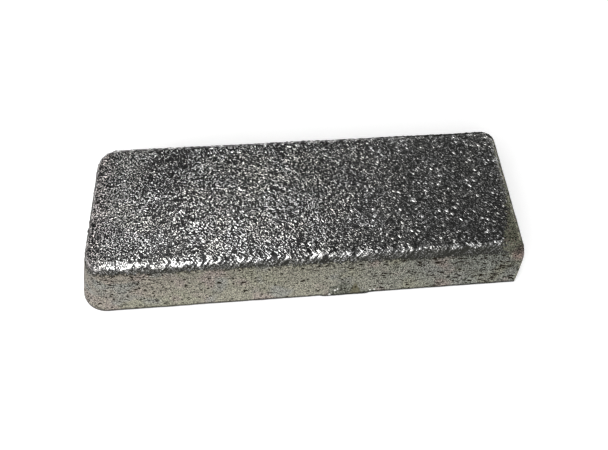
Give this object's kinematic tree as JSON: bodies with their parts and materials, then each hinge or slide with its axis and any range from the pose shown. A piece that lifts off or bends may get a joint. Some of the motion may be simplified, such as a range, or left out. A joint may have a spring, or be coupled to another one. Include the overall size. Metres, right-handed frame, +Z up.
{
  "type": "metal ingot",
  "caption": "Small cast metal ingot with drafted sides, a dimpled narrow upper face and rounded edges, lying on its wider pour face.",
  "frame": {"origin": "middle of the pour face, which is the ingot's bottom as it lies", "axes": "+X along the length towards the thinner end, +Y towards the long side away from the broken lip, +Z up from the pour face"},
  "size_m": [0.2504, 0.0978, 0.0349],
  "materials": {
    "cast_metal": "as-cast, dull dark grey with bright worn ridges"
  },
  "bodies": {
    "root": {"ingot": "cast_metal"}
  },
  "joints": []
}
